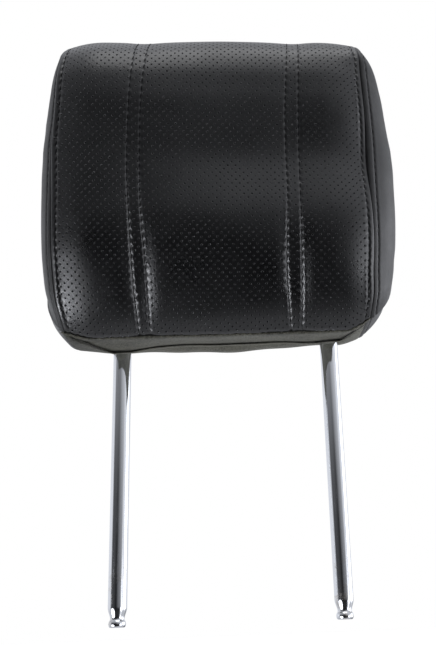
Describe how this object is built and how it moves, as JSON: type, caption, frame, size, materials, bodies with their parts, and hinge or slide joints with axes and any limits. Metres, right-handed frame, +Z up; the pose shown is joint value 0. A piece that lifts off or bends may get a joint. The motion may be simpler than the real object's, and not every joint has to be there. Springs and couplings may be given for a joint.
{
  "type": "car headrest",
  "caption": "Padded car headrest with a perforated black leather face, smooth leather sides and back, cloth underside and two chromed posts.",
  "frame": {"origin": "midway between the two posts, level with their lower ends", "axes": "+Z up along the posts, -Y out of the face that meets the head, +X to the viewer's right when the viewer faces that face"},
  "size_m": [0.232, 0.1236, 0.3793],
  "materials": {
    "chromed_tube": "bright chrome plate with fine scratches near the lower ends",
    "perforated_leather": "black pebbled leather, punched with staggered rows of fine holes",
    "smooth_leather": "black pebbled leather, semi-matt",
    "base_cloth": "dark grey woven textile, matt",
    "foam": null,
    "core_plastic": "moulded, plain",
    "hook_plastic": "extruded, plain",
    "zinc_steel": "zinc plated"
  },
  "bodies": {
    "root": {"post_frame": "chromed_tube", "core_front_shell": "core_plastic", "core_rear_shell": "core_plastic", "core_screw_1": "zinc_steel", "core_screw_2": "zinc_steel", "core_screw_3": "zinc_steel", "core_screw_4": "zinc_steel", "foam_pad": "foam", "front_left_panel": "perforated_leather", "front_centre_panel": "perforated_leather", "front_right_panel": "perforated_leather", "rear_panel": "smooth_leather", "left_side_panel": "smooth_leather", "right_side_panel": "smooth_leather", "bottom_front_flap": "base_cloth", "bottom_rear_flap": "base_cloth", "closure_hook_front": "hook_plastic", "closure_hook_rear": "hook_plastic"}
  },
  "joints": []
}
